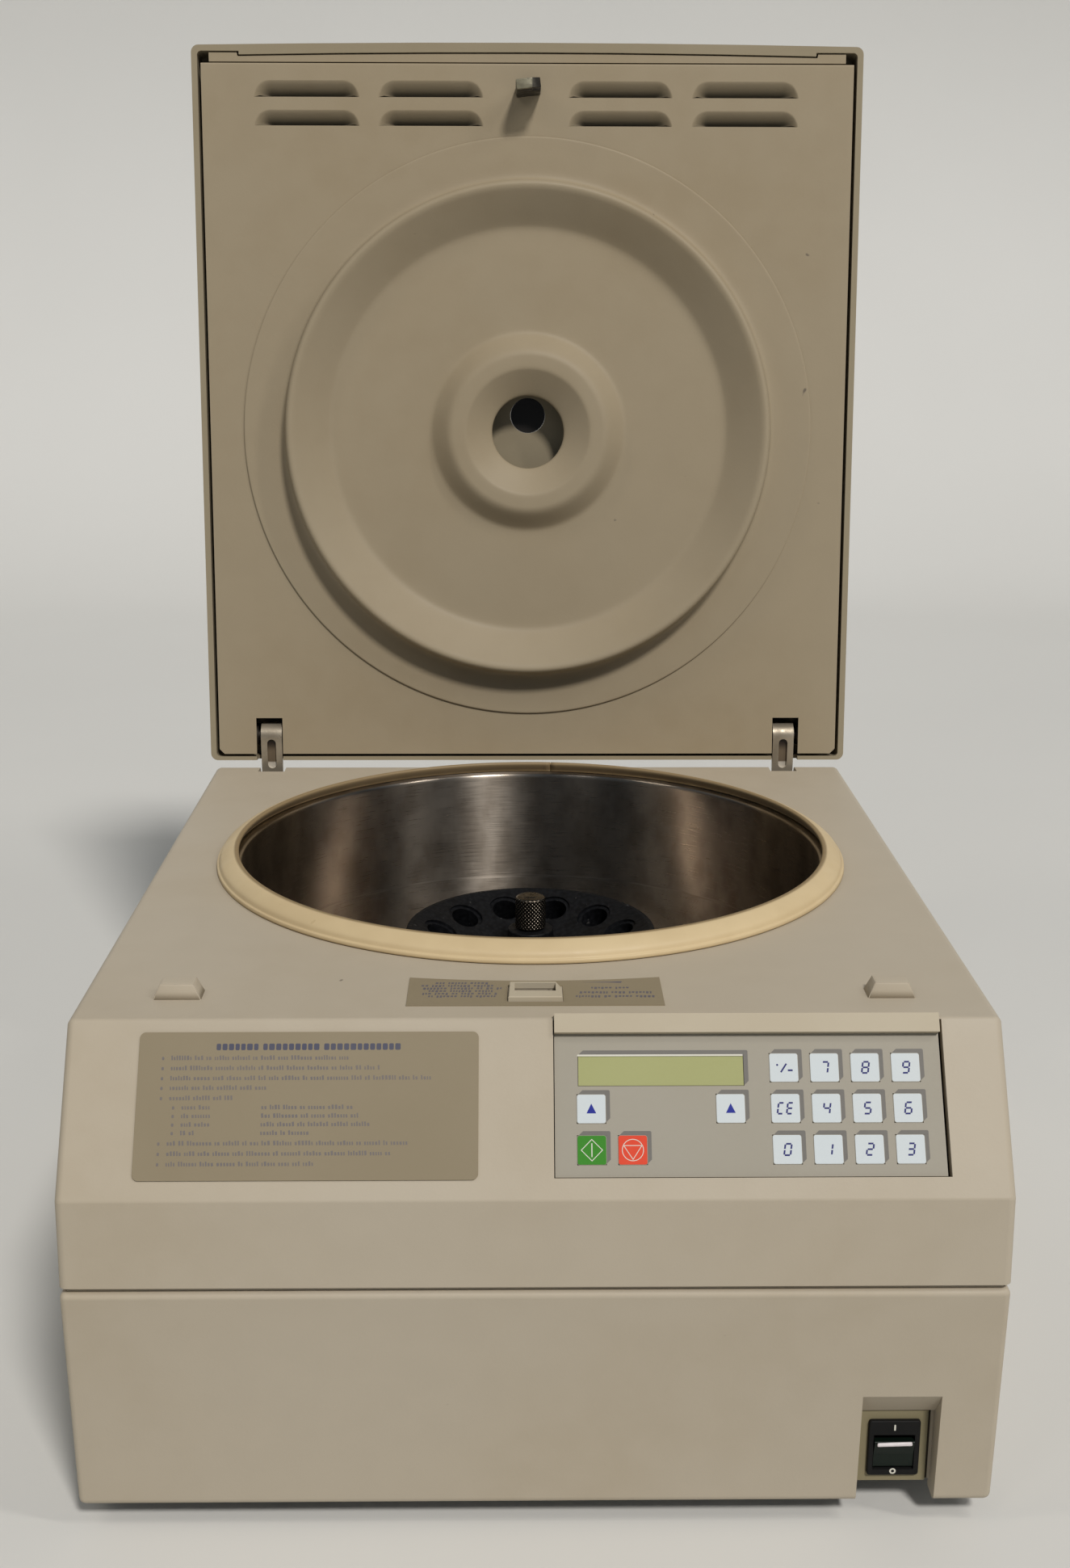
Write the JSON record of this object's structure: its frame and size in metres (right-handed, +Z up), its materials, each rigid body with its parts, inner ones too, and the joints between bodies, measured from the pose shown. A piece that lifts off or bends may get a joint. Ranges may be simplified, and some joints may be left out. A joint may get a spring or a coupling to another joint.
{
  "type": "bench-top centrifuge",
  "caption": "Bench-top centrifuge with an open hinged lid, a steel bowl with an angled tube rotor, a sloped keypad front and a rocker mains switch.",
  "frame": {"origin": "middle of the bounding box at the bottom of the feet, lid open", "axes": "X across from left to right, Y from front to back, Z up"},
  "size_m": [0.4564, 0.5888, 0.7468],
  "materials": {
    "case_beige": "painted structural foam, fine texture",
    "lid_tan": "satin paint on sheet steel",
    "rubber_cream": "cream silicone rubber",
    "stainless": "brushed stainless",
    "steel_sheet": "zinc-plated sheet steel",
    "steel_painted": "dark paint on steel",
    "bearing_steel": "ground steel",
    "bronze": "sintered bronze",
    "rotor_alloy": "dark hammered enamel on alloy",
    "nut_steel": "knurled steel",
    "motor_casting": "dark casting and windings",
    "rubber_black": "black rubber",
    "plastic_black": "black plastic",
    "plastic_taupe": "taupe plastic",
    "label_taupe": "taupe printed plate",
    "plate_olive": "olive grey paint",
    "overlay_grey": "membrane overlay",
    "display_green": "yellow green display glass",
    "board_green": "circuit board",
    "port_glass": "dark sight glass",
    "key_white": "pale membrane key",
    "key_green": "green membrane key",
    "key_red": "red membrane key"
  },
  "bodies": {
    "base": {"base_plate": "steel_sheet", "rubber_feet": "rubber_black", "case_screws": "steel_sheet", "lower_housing": "case_beige", "rear_panel": "steel_sheet", "mains_inlet": "plastic_black", "top_cover": "case_beige", "sealing_ring": "rubber_cream", "bowl": "stainless", "guard_barrel": "steel_painted", "bowl_cushion": "rubber_black", "motor_mounts": "rubber_black", "motor_plate": "steel_painted", "motor_housing": "motor_casting", "motor_bearings": "bearing_steel", "shaft_gaiter": "rubber_black", "hinge_arms": "stainless", "hinge_posts": "steel_sheet", "hinge_bushes": "bronze", "instruction_plate": "label_taupe", "control_frame": "plastic_taupe", "keypad_overlay": "overlay_grey", "display_window": "display_green", "display_board": "board_green", "latch_label": "label_taupe", "latch_frame": "plastic_taupe", "lock_housing": "plastic_black", "switch_plate": "plate_olive", "switch_bezel": "plastic_black", "transformer": "motor_casting", "power_board": "board_green"},
    "drive_rotor": {"spindle": "bearing_steel", "rotor": "rotor_alloy"},
    "clamp_nut": {"rotor_nut": "nut_steel"},
    "lid": {"lid_shell": "case_beige", "lid_liner": "lid_tan", "lid_dish": "lid_tan", "latch_striker": "bearing_steel", "hinge_pins": "bearing_steel", "lid_hinge_ears": "steel_sheet", "sight_window": "port_glass"},
    "bolt": {"lock_bolt": "bearing_steel"},
    "rocker": {"mains_rocker": "plastic_black"},
    "button_point": {"key_point": "key_white"},
    "button_7": {"key_7": "key_white"},
    "button_8": {"key_8": "key_white"},
    "button_9": {"key_9": "key_white"},
    "button_clear": {"key_clear": "key_white"},
    "button_4": {"key_4": "key_white"},
    "button_5": {"key_5": "key_white"},
    "button_6": {"key_6": "key_white"},
    "button_0": {"key_0": "key_white"},
    "button_1": {"key_1": "key_white"},
    "button_2": {"key_2": "key_white"},
    "button_3": {"key_3": "key_white"},
    "button_left_arrow": {"key_left_arrow": "key_white"},
    "button_right_arrow": {"key_right_arrow": "key_white"},
    "button_start": {"key_start": "key_green"},
    "button_stop": {"key_stop": "key_red"}
  },
  "joints": [
    {"name": "lid_swing", "type": "hinge", "parent": "base", "child": "lid", "pos_m": [0, 0.23245, 0.27355], "axis": [1, 0, 0], "range_deg": [0, 95.76]},
    {"name": "rotor_spin", "type": "hinge", "parent": "base", "child": "drive_rotor", "pos_m": [0, 0.01691, 0.17], "axis": [0, 0, 1], "continuous": true},
    {"name": "nut_turn", "type": "hinge", "parent": "drive_rotor", "child": "clamp_nut", "pos_m": [0, 0.01691, 0.214], "axis": [0, 0, 1], "continuous": true},
    {"name": "bolt_slide", "type": "slide", "parent": "base", "child": "bolt", "axis": [-1, 0, 0], "range_m": [0, 0.006], "stiffness_N_per_m": 120},
    {"name": "rocker_tip", "type": "hinge", "parent": "base", "child": "rocker", "pos_m": [0.177, -0.27389, 0.0354], "axis": [-1, 0, 0], "range_deg": [0, 20]},
    {"name": "press_point", "type": "slide", "parent": "base", "child": "button_point", "axis": [0, 0.8338, -0.552], "range_m": [0, 0.0004], "stiffness_N_per_m": 250},
    {"name": "press_7", "type": "slide", "parent": "base", "child": "button_7", "axis": [0, 0.8338, -0.552], "range_m": [0, 0.0004], "stiffness_N_per_m": 250},
    {"name": "press_8", "type": "slide", "parent": "base", "child": "button_8", "axis": [0, 0.8338, -0.552], "range_m": [0, 0.0004], "stiffness_N_per_m": 250},
    {"name": "press_9", "type": "slide", "parent": "base", "child": "button_9", "axis": [0, 0.8338, -0.552], "range_m": [0, 0.0004], "stiffness_N_per_m": 250},
    {"name": "press_clear", "type": "slide", "parent": "base", "child": "button_clear", "axis": [0, 0.8338, -0.552], "range_m": [0, 0.0004], "stiffness_N_per_m": 250},
    {"name": "press_4", "type": "slide", "parent": "base", "child": "button_4", "axis": [0, 0.8338, -0.552], "range_m": [0, 0.0004], "stiffness_N_per_m": 250},
    {"name": "press_5", "type": "slide", "parent": "base", "child": "button_5", "axis": [0, 0.8338, -0.552], "range_m": [0, 0.0004], "stiffness_N_per_m": 250},
    {"name": "press_6", "type": "slide", "parent": "base", "child": "button_6", "axis": [0, 0.8338, -0.552], "range_m": [0, 0.0004], "stiffness_N_per_m": 250},
    {"name": "press_0", "type": "slide", "parent": "base", "child": "button_0", "axis": [0, 0.8338, -0.552], "range_m": [0, 0.0004], "stiffness_N_per_m": 250},
    {"name": "press_1", "type": "slide", "parent": "base", "child": "button_1", "axis": [0, 0.8338, -0.552], "range_m": [0, 0.0004], "stiffness_N_per_m": 250},
    {"name": "press_2", "type": "slide", "parent": "base", "child": "button_2", "axis": [0, 0.8338, -0.552], "range_m": [0, 0.0004], "stiffness_N_per_m": 250},
    {"name": "press_3", "type": "slide", "parent": "base", "child": "button_3", "axis": [0, 0.8338, -0.552], "range_m": [0, 0.0004], "stiffness_N_per_m": 250},
    {"name": "press_left_arrow", "type": "slide", "parent": "base", "child": "button_left_arrow", "axis": [0, 0.8338, -0.552], "range_m": [0, 0.0004], "stiffness_N_per_m": 250},
    {"name": "press_right_arrow", "type": "slide", "parent": "base", "child": "button_right_arrow", "axis": [0, 0.8338, -0.552], "range_m": [0, 0.0004], "stiffness_N_per_m": 250},
    {"name": "press_start", "type": "slide", "parent": "base", "child": "button_start", "axis": [0, 0.8338, -0.552], "range_m": [0, 0.0004], "stiffness_N_per_m": 250},
    {"name": "press_stop", "type": "slide", "parent": "base", "child": "button_stop", "axis": [0, 0.8338, -0.552], "range_m": [0, 0.0004], "stiffness_N_per_m": 250}
  ]
}
